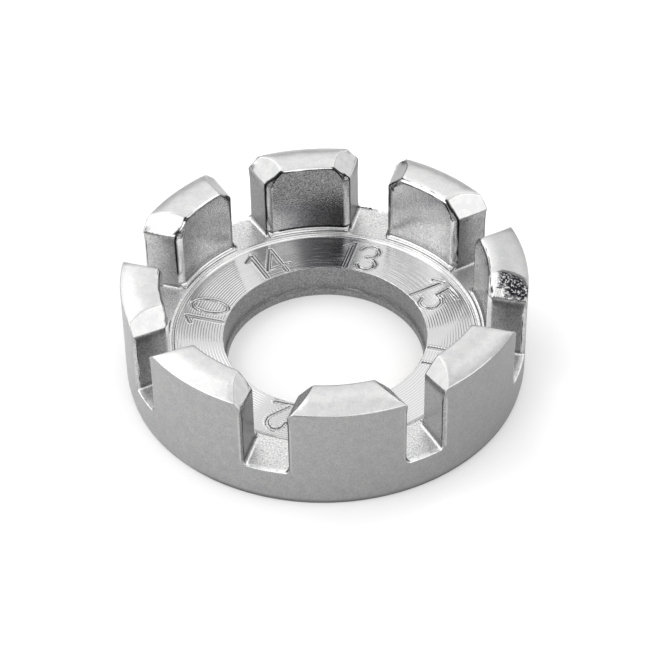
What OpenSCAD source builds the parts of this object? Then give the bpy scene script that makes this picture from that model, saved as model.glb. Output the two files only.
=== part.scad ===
/* [Body] */
// Outer diameter of the round body
body_d = 53; // [51:0.5:56]
// Height from the flat base to the top of the blocks
body_h = 16; // [15:0.5:18]
// Height of the worn-in bevel around the outer bottom edge
foot_h = 1.1; // [0.6:0.1:1.6]
// Depth of that bevel at the base
foot_t = 0.2; // [0.1:0.05:0.4]

/* [Centre hole] */
// Diameter of the centre hole above its lip
hole_d = 27; // [25:0.1:27.2]
// Diameter of the narrow lip at the foot of the hole
lip_d = 26.2; // [24:0.1:26.4]
// Height of the lip
lip_h = 1.05; // [0.6:0.05:1.6]

/* [Turned face] */
// Height of the face that is turned flat around the hole
face_z = 4.65; // [4.4:0.05:4.8]
// Diameter of the turned face
face_d = 40.2; // [39.8:0.1:41]
// Height of the slot floors
floor_z = 5; // [4.85:0.05:5.05]
// Height of the narrow ledge between the turned face and the blocks
ledge_z = 5.1; // [5.1:0.05:5.4]

/* [Blocks] */
// Diameter of the well inside the ring of blocks
well_d = 42.5; // [42:0.1:43.5]
// Diameter at which the rounded tops are highest
crown_d = 46.3; // [45.8:0.1:47.4]
// Radius of the rounded tops
crown_r = 7.4; // [6.2:0.1:9]
// Leg of the slope that cuts each block's upper end edge
slope_leg = 2.25; // [1.5:0.05:2.6]
// Bevel on the upright edges beside the well
inner_bevel = 0.6; // [0.3:0.05:0.8]
// Bevel on the upright edges at the outside
outer_bevel = 0.45; // [0.2:0.05:0.6]
// Fillet where the blocks stand on the floor
foot_fillet = 0.4; // [0.2:0.05:0.6]

/* [Jaws] */
// Width of the slot marked 10
jaw_10_w = 6.5; // [5.9:0.1:6.8]
// Width of the slot marked 11
jaw_11_w = 5.7; // [5.3:0.1:6.2]
// Width of the slot marked 12
jaw_12_w = 5.8; // [5.3:0.1:6.2]
// Width of the slot marked 13
jaw_13_w = 5.4; // [5:0.1:5.8]
// Width of the slot marked 14
jaw_14_w = 5.2; // [4.8:0.1:5.6]
// Width of the slot marked 15
jaw_15_w = 4.7; // [4.4:0.1:5.2]
// Width of the unmarked slot between 10 and 12
jaw_left_w = 4.6; // [4.2:0.1:5.2]
// Width of the unmarked slot between 12 and 11
jaw_right_w = 5.1; // [4.6:0.1:5.6]

/* [Numbers] */
// Height of the stamped figures between the middles of their strokes
figure_h = 4.9; // [4:0.1:5]
// Width of a round figure between the middles of its strokes
figure_w = 2.6; // [2:0.1:2.8]
// Radius at which the figures' feet stand
figure_foot_r = 13.95; // [13.9:0.05:14.4]
// Distance from the slot's middle line out to the leading 1
figure_lead = 1.3; // [1.1:0.1:1.6]
// Width of the stamped stroke
stroke_w = 0.5; // [0.3:0.05:0.6]
// Depth of the stamped stroke
stroke_t = 0.25; // [0.1:0.05:0.4]

/* [Hidden] */
$fn = 180;

// Each slot: its direction, its width and the second figure of its number, or -1 for none
SLOTS = [
    [0, jaw_11_w, 1],
    [45, jaw_15_w, 5],
    [90, jaw_13_w, 3],
    [135, jaw_14_w, 4],
    [180, jaw_10_w, 0],
    [225, jaw_left_w, -1],
    [270, jaw_12_w, 2],
    [315, jaw_right_w, -1]
];

body_r = body_d / 2;
well_r = well_d / 2;
wall_t = body_r - well_r;
// Height at which the slopes start on the slot walls
slope_z = body_h - slope_leg;
// How far cutting shapes run past the surfaces that they cut
over = 2;
// Half the stamped stroke, and the number of straight steps in half a turn of a figure
half_w = stroke_w / 2;
arc_steps = 9;

// Half profile of the whole ring: lipped hole, turned face, ledge and wall with its rounded top
module ring_profile() {
    crown_mid_z = body_h - crown_r;
    polygon([
        [lip_d / 2, 0],
        [body_r - foot_t, 0],
        [body_r, foot_h],
        [body_r, crown_mid_z],
        [well_r, crown_mid_z],
        [well_r, ledge_z + foot_fillet],
        [well_r - foot_fillet, ledge_z],
        [face_d / 2, ledge_z],
        [face_d / 2, face_z],
        [hole_d / 2, face_z],
        [hole_d / 2, lip_h],
        [lip_d / 2, lip_h]
    ]);
    // The square starts a little lower than the middle of the rounded top, so that it overlaps the wall
    intersection() {
        translate([well_r, crown_mid_z - over / 2]) square([wall_t, body_h]);
        translate([crown_d / 2, crown_mid_z]) circle(crown_r);
    }
}

// Plan of a slot along +X: parallel jaws that open out at both ends as bevels
module slot_plan(w) {
    inner_x = sqrt(pow(well_r, 2) - pow(w / 2, 2));
    outer_x = sqrt(pow(body_r, 2) - pow(w / 2, 2));
    for (side = [0, 1])
        mirror([0, side])
            polygon([
                [inner_x - over, 0],
                [inner_x - over, w / 2 + inner_bevel + over],
                [inner_x + inner_bevel, w / 2],
                [outer_x - outer_bevel, w / 2],
                [outer_x + over, w / 2 + outer_bevel + over],
                [outer_x + over, 0]
            ]);
}

// One slot along +X with the sloping ends that it gives the blocks beside it
module slot(w) {
    run = body_r - well_r + 3 * over;
    translate([0, 0, floor_z + foot_fillet])
        linear_extrude(body_h) slot_plan(w);
    translate([well_r - 2 * over, 0, 0])
        rotate([90, 0, 90])
            linear_extrude(run)
                polygon([
                    [foot_fillet - w / 2, floor_z],
                    [w / 2 - foot_fillet, floor_z],
                    [w / 2, floor_z + foot_fillet],
                    [w / 2, slope_z],
                    [w / 2 + slope_leg + over, body_h + over],
                    [-w / 2 - slope_leg - over, body_h + over],
                    [-w / 2, slope_z],
                    [-w / 2, floor_z + foot_fillet]
                ]);
}

// Points along an arc, from one angle round to another
function arc(mid, r, from, to) =
    [for (i = [0:arc_steps]) let (a = from + (to - from) * i / arc_steps) mid + r * [cos(a), sin(a)]];

// Unit direction of a path at its point i
function heading(path, i) =
    let (d = path[min(i + 1, len(path) - 1)] - path[max(i - 1, 0)]) d / norm(d);

// A path's points moved sideways by off, to its left
function beside(path, off) =
    [for (i = [0:len(path) - 1]) let (d = heading(path, i)) path[i] + off * [-d[1], d[0]]];

// A stroke of the stamp's width along a path
module stroke(path) {
    left = beside(path, stroke_w / 2);
    right = beside(path, -stroke_w / 2);
    polygon(concat(left, [for (i = [1:len(right)]) right[len(right) - i]]));
}

// Filled oval about a centre
module oval(mid, half_w, half_h) {
    polygon([for (i = [0:2 * arc_steps - 1]) let (a = 180 * i / arc_steps) mid + [half_w * cos(a), half_h * sin(a)]]);
}

// The leading 1: a stem with a flag on its left
module figure_one() {
    flag = figure_h / 5;
    stroke([[0, -half_w], [0, figure_h + half_w]]);
    stroke([[0, figure_h], [-flag, figure_h - flag]]);
}

// The second figure of a number, standing on y = 0 and starting at x = 0
module figure(n) {
    r = figure_w / 2;
    if (n == 0)
        difference() {
            oval([r, figure_h / 2], r + half_w, figure_h / 2 + half_w);
            oval([r, figure_h / 2], r - half_w, figure_h / 2 - half_w);
        }
    if (n == 1) translate([r, 0]) figure_one();
    if (n == 2) {
        stroke(concat(arc([r, figure_h - r], r, 170, -40), [[0, 0]]));
        stroke([[-half_w, 0], [figure_w + half_w, 0]]);
    }
    if (n == 3) {
        upper_r = figure_h / 2 - r;
        stroke(concat(arc([r, figure_h - upper_r], upper_r, 150, -90), [[r - 2 * half_w, 2 * r]]));
        stroke(arc([r, r], r, 100, -150));
    }
    if (n == 4) {
        stem_x = 1.3 * r;
        bar_x = -0.4 * r;
        bar_y = figure_h / 4;
        stroke([[stem_x, -half_w], [stem_x, figure_h + half_w]]);
        stroke([[stem_x, figure_h], [bar_x, bar_y]]);
        stroke([[bar_x - half_w, bar_y], [figure_w, bar_y]]);
    }
    if (n == 5) {
        bowl_r = 1.1 * r;
        back_x = 0.15 * r;
        bowl = arc([r, bowl_r], bowl_r, 130, -140);
        stroke(bowl);
        stroke([bowl[0] - [0, half_w], [back_x, figure_h]]);
        stroke([[back_x - half_w, figure_h], [1.8 * r, figure_h]]);
    }
}

// A slot's number, read from the centre with its head towards the slot
module slot_number(n) {
    rotate([0, 0, -90])
        translate([0, figure_foot_r, face_z - stroke_t])
            linear_extrude(stroke_t + over) {
                translate([-figure_lead, 0]) figure_one();
                figure(n);
            }
}

module wrench_body() {
    color("silver")
        difference() {
            rotate_extrude() ring_profile();
            for (s = SLOTS)
                rotate([0, 0, s[0]]) slot(s[1]);
            for (s = SLOTS)
                if (s[2] >= 0) rotate([0, 0, s[0]]) slot_number(s[2]);
        }
}

wrench_body();
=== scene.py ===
# %% [markdown]
# # A round spoke wrench
# One cast steel ring with eight blocks standing on it. The gaps between the blocks are the jaws, which
# fit round the nipple of a spoke. This lesson builds the wrench's skin from a few fields of distance,
# gives each surface its own finish, and lights it in a plain white studio.
#
# The packed model comes first. It fixes the frame, and its box is kept.

# %% The packed model
from math import cos, pi, radians, sin, tan

import bpy
import numpy as np
from mathutils import Matrix, Vector


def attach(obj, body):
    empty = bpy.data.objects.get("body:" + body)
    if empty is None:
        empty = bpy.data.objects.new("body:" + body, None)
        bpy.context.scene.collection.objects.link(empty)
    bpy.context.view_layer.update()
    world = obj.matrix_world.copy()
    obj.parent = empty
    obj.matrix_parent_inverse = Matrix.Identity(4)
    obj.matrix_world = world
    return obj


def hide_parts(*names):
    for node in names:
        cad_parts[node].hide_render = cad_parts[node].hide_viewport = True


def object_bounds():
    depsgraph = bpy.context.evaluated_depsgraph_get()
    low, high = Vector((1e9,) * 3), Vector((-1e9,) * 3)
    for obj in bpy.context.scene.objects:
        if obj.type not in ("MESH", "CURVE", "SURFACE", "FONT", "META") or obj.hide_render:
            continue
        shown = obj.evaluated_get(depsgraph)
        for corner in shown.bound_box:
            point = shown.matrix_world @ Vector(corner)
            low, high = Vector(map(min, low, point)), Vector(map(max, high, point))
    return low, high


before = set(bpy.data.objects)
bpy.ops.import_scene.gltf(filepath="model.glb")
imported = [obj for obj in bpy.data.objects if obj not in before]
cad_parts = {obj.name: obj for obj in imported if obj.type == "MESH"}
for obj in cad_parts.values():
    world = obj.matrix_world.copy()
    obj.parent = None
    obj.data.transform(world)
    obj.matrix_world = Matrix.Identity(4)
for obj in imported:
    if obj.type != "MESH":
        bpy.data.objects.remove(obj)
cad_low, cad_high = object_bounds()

MM = 0.001
print("CAD box in mm:", [round(v / MM, 2) for v in (*cad_low, *cad_high)])

# %% [markdown]
# ## The camera
# The photograph is a close view with a long lens. The camera stands in front of the slot marked 12 and a
# little to its right, looks down at 43 degrees, and leans by one degree. Distance and lens were found by
# matching the ring's ellipses. Every later look is through this camera, so it comes before the wrench.

# %% Camera
LENS_MM, SENSOR_MM = 132.26, 36.0
VIEW_AZIMUTH, VIEW_ELEVATION, VIEW_LEAN = radians(287.1), radians(43.12), radians(1.03)
VIEW_DISTANCE, AIM_HEIGHT = 319.74 * MM, 6.32 * MM


def add_object(name, data):
    """A new object with that data, in the scene."""
    made = bpy.data.objects.new(name, data)
    bpy.context.scene.collection.objects.link(made)
    return made


def direction(azimuth, elevation):
    """Unit vector that points that far round from +X and that far up."""
    return Vector((cos(azimuth) * cos(elevation), sin(azimuth) * cos(elevation), sin(elevation)))


def add_camera():
    """A camera on a sphere about the base's middle, aimed at the axis, then turned about its sight line."""
    eye, aim = VIEW_DISTANCE * direction(VIEW_AZIMUTH, VIEW_ELEVATION), Vector((0, 0, AIM_HEIGHT))
    turn = (aim - eye).to_track_quat("-Z", "Y").to_matrix().to_4x4()
    data = bpy.data.cameras.new("studio_camera")
    data.lens, data.sensor_width = LENS_MM, SENSOR_MM
    data.clip_start, data.clip_end = 10 * MM, 10.0
    camera = add_object("studio_camera", data)
    camera.matrix_world = Matrix.Translation(eye) @ turn @ Matrix.Rotation(-VIEW_LEAN, 4, "Z")
    bpy.context.scene.camera = camera
    return camera


camera = add_camera()
print("camera at mm:", [round(v / MM, 1) for v in camera.location])

# %% [markdown]
# ## Sizes
# Everything about the wrench is in millimetres until its mesh is made. The two outer sizes are taken from
# the packed model's box, and the others follow its source. The crown is the rounded top of the blocks: an
# arc that is highest at a radius between the well and the wall.

# %% Sizes of the wrench
BODY_R, BODY_H = round(cad_high[0] / MM, 2), round(cad_high[2] / MM, 1)
WELL_R, HOLE_R, LIP_R = 21.25, 13.5, 13.1
FACE_Z, FACE_R, FLOOR_Z, LIP_Z = 4.65, 19.97, 5.0, 1.05
CROWN_MID_R, CROWN_ARC = 23.16, 7.4
CROWN_MID_Z = BODY_H - CROWN_ARC
FOOT_H, FOOT_IN = 1.1, 0.2
SLOTS = 8
EIGHTH = 2 * pi / SLOTS
HALF_BLOCK = EIGHTH / 2
print("body", 2 * BODY_R, "mm across and", BODY_H, "high, hole", 2 * HOLE_R, "across")

# %% [markdown]
# ## Fields instead of faces
# A rounded casting is awkward to draw face by face, because every edge meets two others in a corner. It
# is easier to say, for any point in space, how far it lies outside each surface: below zero is metal,
# above zero is air. The larger of two fields is what both surfaces leave standing, the smaller is what
# either adds, and a soft version of each rounds the edge or fills the corner at once.

# %% Soft larger and smaller
def soft_max(a, b, k):
    """The larger of a and b, rounded where they come closer than k.

    There (k - |a - b|) squared over 4 k is added."""
    near = np.clip(k - np.abs(a - b), 0, None)
    return np.maximum(a, b) + near * near / (4 * k)


def soft_min(a, b, k):
    """The smaller of a and b, with the corner between them filled in the same way."""
    return -soft_max(-a, -b, k)


def bevel_plane(a, b, leg):
    """A plane at 45 degrees that cuts the corner of a and b off, with legs that long."""
    return (a + b + leg) * 0.5 ** 0.5


def bevelled(a, b, leg, k):
    """The largest of a, b and the plane that bevels their corner, rounded."""
    return soft_max(soft_max(a, b, k), bevel_plane(a, b, leg), k)


print("an edge rounded over 0.4 mm lies", round(soft_max(0.0, 0.0, 0.4), 3), "mm inside the sharp one")

# %% [markdown]
# ## Steps and bells
# A finish or a height often belongs to one zone only. A smooth step fades a zone in, and a bell marks a
# line, such as a groove or a sooty edge. Both work on whole arrays at once.

# %% Steps and bells
def smooth_step(low, high, x):
    """0 below low, 1 above high, and 3 t t - 2 t t t between them. With low above high it falls."""
    t = np.clip((x - low) / (high - low), 0, 1)
    return t * t * (3 - 2 * t)


def bell(x, width):
    """1 where x is 0 and about a third a width away: e to the minus (x over width) squared."""
    return np.exp(-((x / width) ** 2))


print("a bell one width off its middle:", round(float(bell(1.0, 1.0)), 3))

# %% [markdown]
# ## Waves for a cast skin
# A cast surface is never quite flat, and its edges wander. The sum of a few dozen sine waves that run in
# random directions through space does the same to a field, and it never repeats over a piece this small.
# Each kind of wave has a seed of its own, so that every run gives the same skin.

# %% Waves
def waves(count, shortest, longest, seed):
    """Random directions, phases and weights for a sum of sine waves. Longer waves weigh more."""
    rng = np.random.default_rng(seed)
    heading = rng.normal(size=(count, 3))
    heading /= np.linalg.norm(heading, axis=1, keepdims=True)
    length = rng.uniform(shortest, longest, count)
    return heading * (2 * pi / length)[:, None], rng.uniform(0, 2 * pi, count), length / length.sum()


def ripple(x, y, z, kind):
    """Sum of the waves of that kind: each one's weight times the sine of heading times place plus phase."""
    total = np.zeros(np.broadcast(x, y, z).shape)
    for (kx, ky, kz), phase, weight in zip(*kind):
        total += weight * np.sin(kx * x + ky * y + kz * z + phase)
    return total


CAST_WAVES = waves(24, 0.9, 3.0, 4)
EDGE_WAVES = waves(20, 1.2, 4.5, 7)
FINE_WAVES = waves(30, 0.45, 1.1, 9)
print("waves of each kind:", [len(kind[1]) for kind in (CAST_WAVES, EDGE_WAVES, FINE_WAVES)])

# %% [markdown]
# ## One sixteenth at a time
# The ring is eight slots, and each slot has two sides. So the skin is worked out sixteen times over the
# same small map, in one array: x runs out along the slot's middle line, y is the distance to the side of
# it, and z is up. Each sixteenth reaches from the middle of a slot to the middle of a block.
#
# The blocks were ground by hand, so no two sides are quite alike. A table with a row for each slot starts
# at the slot marked 11 and goes round against the clock, clockwise side first. Block k stands between
# slots k and k + 1.

# %% The sixteen sides
SIDES = 2 * SLOTS
slot_of = np.arange(SIDES) // 2
hand = np.arange(SIDES) % 2
side_of = np.where(hand, 1, -1)
block_of = (slot_of - (hand == 0)) % SLOTS


def on_map(values):
    """One value for each sixteenth, shaped so that it spreads over that sixteenth's rows and columns."""
    return np.asarray(values)[:, None, None]


def on_rows(values):
    """One value for each row of the map, shaped so that it spreads over all sides and columns."""
    return np.asarray(values).reshape(1, -1, 1)


def by_side(table):
    """A table of slots and sides, spread over the map."""
    return on_map(np.array(table)[slot_of, hand])


def by_block(row):
    """A row of blocks, spread over the map."""
    return on_map(np.array(row)[block_of])


def in_the_ring(x, y):
    """Each sixteenth's own x and y in the ring: mirrored on the clockwise side, then turned by the slot."""
    turn = on_map(slot_of * EIGHTH)
    y = y * on_map(side_of)
    return x * np.cos(turn) - y * np.sin(turn), x * np.sin(turn) + y * np.cos(turn)


print("blocks beside the slots:", block_of.reshape(SLOTS, 2).tolist())

# %% [markdown]
# ## Jaws and end slopes
# A jaw is the flat side of a block that faces its slot. Above it the block's end slopes in at 45 degrees,
# and on a few blocks the grinder left that slope bulging or the jaw leaning. So the height at which the
# slope starts is a straight line along the block's thickness, from a value at the well to one at the
# outer wall.

# %% Jaws and end slopes
JAW_WIDTHS = np.array([5.7, 4.7, 5.4, 5.2, 6.5, 4.6, 5.8, 5.1])
half_jaw = on_map(JAW_WIDTHS[slot_of] / 2)
# Height at which an end slope starts on the jaw, at its inner and at its outer end
slope_in = by_side([[13.75, 13.75]] * 6 + [[13.75, 13.95], [13.95, 13.75]])
slope_out = by_side([[13.9, 13.9], [13.7, 13.6], [13.5, 13.5], [13.5, 13.5],
                     [13.6, 13.8], [13.9, 14.4], [14.4, 14.6], [14.85, 14.7]])
# How far the middle of an end slope stands proud of flat at the outer wall
slope_bulge = by_side([[0.05, 0.1], [0.15, 0.1], [0.42, 0.35], [0.42, 0.25], [0.12, 0.1]]
                      + [[0.05, 0.05]] * 3)
# How far a jaw leans into its slot from the inner end to the outer
jaw_lean = by_side([[0, 0]] * 2 + [[0.2, -0.08], [0.25, 0]] + [[0, 0]] * 4)


def crown_height(r):
    """Height of the rounded top at radius r: an arc of a circle."""
    return CROWN_MID_Z + np.sqrt(np.clip(CROWN_ARC ** 2 - (r - CROWN_MID_R) ** 2, 0, None))


def through(r):
    """0 at the blocks' inner faces, 1 at the outer wall."""
    return np.clip((r - WELL_R) / (BODY_R - WELL_R), 0, 1)


def slope_foot(r):
    """Height at which the end slope leaves the jaw, along the block's thickness."""
    return slope_in + (slope_out - slope_in) * through(r)


print("crown at the well and at the wall:", np.round(crown_height(np.array([WELL_R, BODY_R])), 2), "mm")

# %% [markdown]
# ## The stamped numbers
# On the real wrench each gauge number was struck into the turned face with punches. A text object and a
# Boolean would cut sharp trenches. Here each figure is a few straight strokes, and the distance to the
# nearest one says how far the face was pushed down, which gives a stamp's rounded groove and the ridge
# beside it.

# %% Strokes of the figures
# Each figure is one or more lines on a plate 2.6 wide and 5 high, and stands with its head towards the slot
JAW_NUMBERS = ["11", "15", "13", "14", "10", "", "12", ""]
FIGURES = {
    "0": [[(1.25 + 1.28 * cos(a), 2.5 + 2.42 * sin(a)) for a in np.linspace(0, 2 * pi, 25)]],
    "1": [[(0, 0), (0, 5), (-1.1, 4.15)]],
    "2": [[(0.1, 3.5), (0.35, 4.35), (0.8, 4.8), (1.3, 4.95), (1.85, 4.8), (2.35, 4.35), (2.6, 3.7),
           (2.5, 3.0), (2.1, 2.4), (0.1, 0.1), (2.6, 0.1)]],
    "3": [[(0.2, 4.1), (0.6, 4.7), (1.3, 4.95), (2.0, 4.75), (2.45, 4.2), (2.45, 3.5), (2.0, 2.85),
           (1.3, 2.6), (2.1, 2.3), (2.6, 1.6), (2.5, 0.8), (2.0, 0.2), (1.3, 0), (0.6, 0.2), (0.1, 0.9)]],
    "4": [[(1.7, 0), (1.7, 5), (-0.5, 1.3), (2.7, 1.3)]],
    "5": [[(2.3, 5), (0.2, 5), (0.5, 3.1), (1.3, 3.2), (2.15, 2.75), (2.6, 1.9), (2.5, 1.0), (2.0, 0.3),
           (1.3, 0), (0.6, 0.15), (0.05, 0.9)]],
}
FIGURE_FEET_R, LEAD_ONE, SECOND_ONE = 13.9, -1.3, 1.75
FAR_OFF = 9.0


def number_lines(number):
    """The lines of a gauge number: the leading 1 on its left and the second figure on its right."""
    if not number:
        return []
    second = SECOND_ONE if number[1] == "1" else 0
    lead = [np.add(line, (LEAD_ONE, 0)) for line in FIGURES["1"]]
    return lead + [np.add(line, (second, 0)) for line in FIGURES[number[1]]]


def stroke_distance(u, v, slot):
    """Distance from (u, v) to the slot's nearest stroke: u right of its middle line, v up from the feet."""
    nearest = np.full(np.shape(u), FAR_OFF)
    for line in number_lines(JAW_NUMBERS[slot]):
        for (au, av), (bu, bv) in zip(line[:-1], line[1:]):
            du, dv = bu - au, bv - av
            t = np.clip(((u - au) * du + (v - av) * dv) / (du * du + dv * dv), 0, 1)
            nearest = np.minimum(nearest, np.hypot(u - au - t * du, v - av - t * dv))
    return nearest


print("numbers from the slot at 11 on:", JAW_NUMBERS)

# %% Depth of the stamp
STAMP_DEPTH, STAMP_HALF = 0.26, 0.27
RIDGE_HEIGHT, RIDGE_WIDTH = 0.035, 0.09


def stamped(x, y):
    """How far the stamp pushed the face down: a rounded groove less a low ridge on either side of it."""
    d = np.stack([stroke_distance(-side_of[i] * y[i], x[i] - FIGURE_FEET_R, slot_of[i])
                  for i in range(SIDES)])
    groove = 1 - smooth_step(0.3 * STAMP_HALF, STAMP_HALF, d)
    return STAMP_DEPTH * groove - RIDGE_HEIGHT * bell(d - 1.35 * STAMP_HALF, RIDGE_WIDTH)


print("stamp", STAMP_DEPTH, "mm deep and", 2 * STAMP_HALF, "wide")

# %% [markdown]
# ## The floor between the blocks
# The lathe tool that turned the face left a sloping rim and a fine groove round it. Outside them lies the
# cast floor of the slots, a low plinth under each block, and a burr along the outer edge of a slot floor,
# which is high and ragged at the slot marked 13. All of it is one height for each place on the plan.

# %% The floor between the blocks
RIM_Z, RIM_R, GROOVE_R, GROOVE_DEPTH, GROOVE_WIDTH = 4.88, 20.1, 20.28, 0.1, 0.05
PLINTH_R, PLINTH_H = 20.76, 0.36
# Half the width of a sharp step
SHARP = 0.04
# The burr's middle in from the wall, its width, where it ends beside the jaw, and what a high one adds
BURR_IN, BURR_WIDTH, BURR_END, HIGH_BURR_ON = 0.28, 0.16, (-0.9, -0.2), 1.3
burr_h = by_side([[0.05, 0.05]] * 2 + [[0.05, 0.45]] + [[0.05, 0.05]] * 3 + [[0.08, 0.08], [0.05, 0.1]])
high_burr = burr_h > 0.2


def burr_height(x, y):
    """A bell along the outer edge of the floor, uneven by the fine waves, and wider where it is high."""
    edge = bell(np.hypot(x, y) - BODY_R + BURR_IN, BURR_WIDTH)
    edge = edge * smooth_step(*BURR_END, y - half_jaw + HIGH_BURR_ON * high_burr)
    return edge * burr_h * (1 + ripple(*in_the_ring(x, y), FLOOR_Z, FINE_WAVES))


def floor_height(x, y):
    """Height of the upper surface without the blocks.

    The turned face, plus its rim, a ledge that rises to the floor, a plinth and a burr, less the groove."""
    r = np.hypot(x, y)
    rim = (RIM_Z - FACE_Z) * smooth_step(FACE_R - 3 * SHARP, RIM_R + SHARP, r)
    ledge = (FLOOR_Z - RIM_Z) * np.clip((r - GROOVE_R) / (PLINTH_R - 0.06 - GROOVE_R), 0, 1)
    groove = GROOVE_DEPTH * bell(r - GROOVE_R, GROOVE_WIDTH)
    plinth = PLINTH_H * smooth_step(PLINTH_R - SHARP, PLINTH_R + SHARP, r) * (r < WELL_R + 1)
    plinth = plinth * smooth_step(-0.05, 0.1, y - half_jaw)
    return FACE_Z + rim + ledge - groove + plinth + burr_height(x, y)


print("high burrs:", int(high_burr.sum()))

# %% [markdown]
# ## The blocks as fields
# A block is what its jaw, end slope, crown and inner face leave standing. A narrow bevel runs along the
# crown and wider ones down the upright edges beside the well. Each block has its own, and the waves make
# them wander as a grinder does.

# %% Fields of a block
CREASE_ROUND, CROWN_ROUND, EDGE_ROUND = 0.2, 0.14, 0.12
BEVEL_WANDER, WALL_WANDER, NEAREST_CREASE = 0.07, 0.04, 1.0
# The wide bevels fade out between these heights, and between these distances from the jaw
WIDE_UP_TO, WIDE_IN_TO = (15.4, 13.8), (1.8, 0.4)
crown_leg = by_block([0.3, 0.3, 0.16, 0.2, 0.3, 0.2, 0.15, 0.2])
inner_leg = by_block([0.6] * 5 + [0.5, 0.5, 0.3])


def end_slope(r, z, aside):
    """The slope at 45 degrees: height over its foot less the way in, over root 2, less a bulge across it.

    The bulge is 4 s (1 - s) for the share s of the way up, and grows with the cube of the way out."""
    up = z - slope_foot(r)
    crease = np.maximum(crown_height(r) - slope_foot(r), NEAREST_CREASE)
    along = np.clip((up + aside) / (2 * crease), 0, 1)
    return (up - aside) * 0.5 ** 0.5 - slope_bulge * through(r) ** 3 * 4 * along * (1 - along)


def block_parts(x, y, z):
    """The fields of a block's inner face, of the bevel round it, and of jaw, slope and crown as one.

    The bevel is the plane that cuts the other two at 45 degrees. The last value is the edges' waves."""
    r = np.hypot(x, y)
    rough = ripple(*in_the_ring(x, y), z, EDGE_WAVES)
    aside = y - half_jaw + jaw_lean * through(r)
    crown = np.hypot(r - CROWN_MID_R, np.clip(z - CROWN_MID_Z, 0, None)) - CROWN_ARC
    top = soft_max(soft_max(-aside, end_slope(r, z, aside), CREASE_ROUND), crown, CROWN_ROUND)
    upright = smooth_step(*WIDE_UP_TO, z) * smooth_step(*WIDE_IN_TO, aside)
    leg = crown_leg + (inner_leg - crown_leg) * upright + BEVEL_WANDER * rough
    return WELL_R - r, bevel_plane(WELL_R - r, top, leg), top, rough


print("bevels from", float(crown_leg.min()), "to", float(inner_leg.max()), "mm")

# %% [markdown]
# ## The whole body as one field
# The blocks are joined to the floor with a cast fillet. Then the outer wall, the flat base and the hole
# cut what is left. The hole is a little wider above its lip, and ragged where the lathe broke the
# casting's edge.

# %% The whole body as one field
LEAST_BEVEL, OUTER_BEVEL, FILLET = 0.05, 0.4, 0.55
LIP_TAPER, CAST_DEPTH, RAGGED_DEPTH = 0.12, 0.07, 0.12


def hole_radius(gx, gy, z):
    """Radius of the hole's wall: the lip, and above it the wider cast hole, roughest at the turned face."""
    step = smooth_step(LIP_Z - SHARP, LIP_Z + 0.05, z)
    lip_r = LIP_R + LIP_TAPER * np.clip(z / LIP_Z, 0, 1)
    ragged = ripple(gx, gy, z, FINE_WAVES) * smooth_step(FACE_Z - 0.9, FACE_Z - 0.2, z)
    cast = ripple(gx, gy, z, CAST_WAVES)
    return lip_r + (HOLE_R - lip_r) * step - (CAST_DEPTH * cast + RAGGED_DEPTH * ragged) * step


def body_field(x, y, z):
    """Distance out of the metal: blocks and floor joined, then cut by outer wall, hole and base."""
    r = np.hypot(x, y)
    inner, bevel, top, rough = block_parts(x, y, z)
    block = soft_max(soft_max(inner, top, EDGE_ROUND), bevel, EDGE_ROUND)
    outer_r = BODY_R - FOOT_IN * smooth_step(FOOT_H + 0.15, -0.3, z)
    below_slope = smooth_step(0.1, -0.6, z - slope_foot(r)) * smooth_step(FLOOR_Z + 0.1, FLOOR_Z + 0.5, z)
    block = bevelled(r - outer_r, block, LEAST_BEVEL + OUTER_BEVEL * below_slope, 0.1)
    joined = soft_min(block, z - floor_height(x, y), FILLET)
    body = soft_max(joined, r - outer_r, EDGE_ROUND + WALL_WANDER * rough)
    hole = hole_radius(*in_the_ring(x, y), z) - r
    return soft_max(soft_max(body, hole, EDGE_ROUND), -z, EDGE_ROUND)


on_face = np.full((SIDES, 1, 1), (HOLE_R + FACE_R) / 2)
print("field 1 mm over the turned face:", np.round(body_field(on_face, 0 * on_face, FACE_Z + 1).max(), 3))

# %% [markdown]
# ## A map laid over the body
# The field says where the surface is, but a mesh needs corners that lie along its edges. So each
# sixteenth gets a rough map of columns and rows. The columns step from the slot's middle over its floor,
# up the jaw, over the end slope and across the crown. The rows run once round the body: under the base,
# up the hole, out over the turned face, up the inner face, over the crown and down the outer wall. They
# crowd together where an edge turns.

# %% Rows of the map
# Rows of the base and the hole: (radius, height)
BOTTOM_ROWS = [(r, 0) for r in (BODY_R - FOOT_IN, BODY_R - 2 * FOOT_IN, 20, HOLE_R, 13.25, LIP_R)]
HOLE_ROWS = ([(LIP_R, z) for z in (0.1, 0.4, 0.8, 0.98)]
             + [(HOLE_R, z) for z in (1.1, 1.3, 1.8, 2.3, 2.8, 3.3, 3.8, 4.2, 4.45, 4.58)])
# Radius of the rows over the turned face and over its rim
FACE_ROWS = [HOLE_R, 13.58, 13.68, *np.arange(13.8, 19.3, 0.125), 19.5, 19.8, 19.95]
LEDGE_ROWS = [19.99, 20.03, 20.08, 20.16, 20.24, 20.28, 20.32, 20.37, 20.44, 20.6, 20.74, 20.8, 20.86,
              20.95, 21.08]
# Rows of the arch over a block: the share of the way up the inner face, out over the top or down the wall
ARCH_SHARES = {
    "inner": (0.0, 0.02, 0.045, 0.1, 0.25, 0.45, 0.65, 0.82, 0.91, 0.95, 0.97, 0.988),
    "top": (0, 0.028, 0.052, 0.078, 0.18, 0.33, 0.48, 0.64, 0.79, 0.92, 0.962, 0.986),
    "outer": (0.0, 0.009, 0.02, 0.06, 0.25, 0.5, 0.75, 0.97),
}
ARCH_ROWS = [(kind, share) for kind, shares in ARCH_SHARES.items() for share in shares]
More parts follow.
